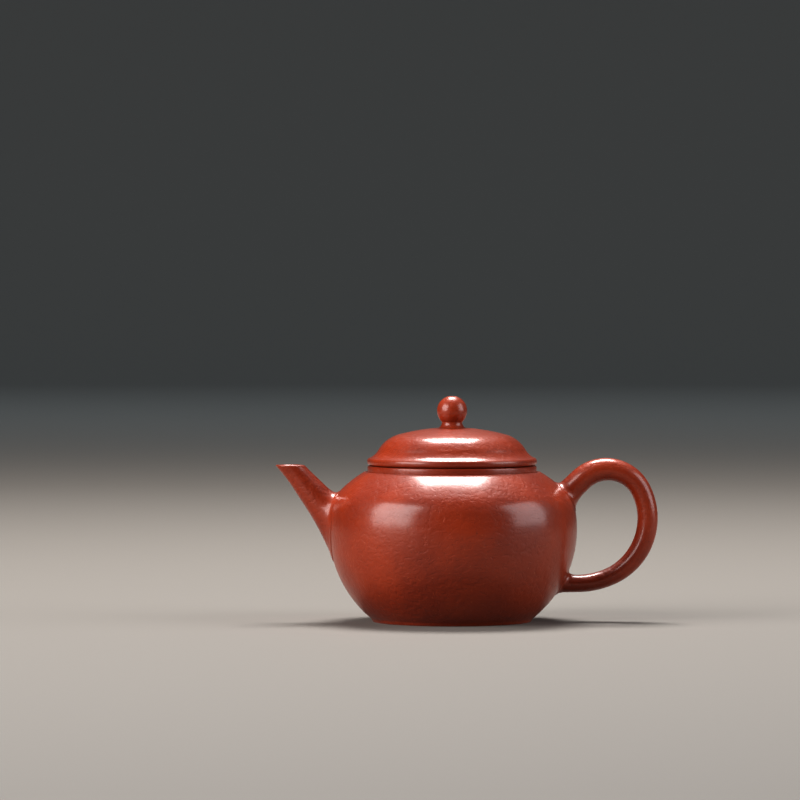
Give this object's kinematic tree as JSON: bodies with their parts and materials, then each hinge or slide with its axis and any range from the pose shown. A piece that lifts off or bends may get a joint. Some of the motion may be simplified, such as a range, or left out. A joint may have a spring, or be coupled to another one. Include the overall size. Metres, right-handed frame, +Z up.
{
  "type": "clay teapot",
  "caption": "Small round clay teapot with a straight spout, an ear-shaped handle and a lift-off domed lid with a ball knob.",
  "frame": {"origin": "centre of the foot ring, on the surface that the pot stands on", "axes": "+Z up through the knob, +X from the spout to the handle, -X the way the spout points, +Y the far side"},
  "size_m": [0.1156, 0.075, 0.068],
  "materials": {
    "red_clay": "unglazed, polished to a soft sheen"
  },
  "bodies": {
    "pot": {"body_wall": "red_clay", "base_disc": "red_clay", "shoulder_disc": "red_clay", "neck_ring": "red_clay", "spout": "red_clay", "handle": "red_clay"},
    "lid": {"lid_plate": "red_clay", "lid_collar": "red_clay", "lid_dome": "red_clay", "knob": "red_clay"}
  },
  "joints": [
    {"name": "lid_lift", "type": "slide", "parent": "pot", "child": "lid", "axis": [0, 0, 1], "range_m": [0, 0.06]}
  ]
}
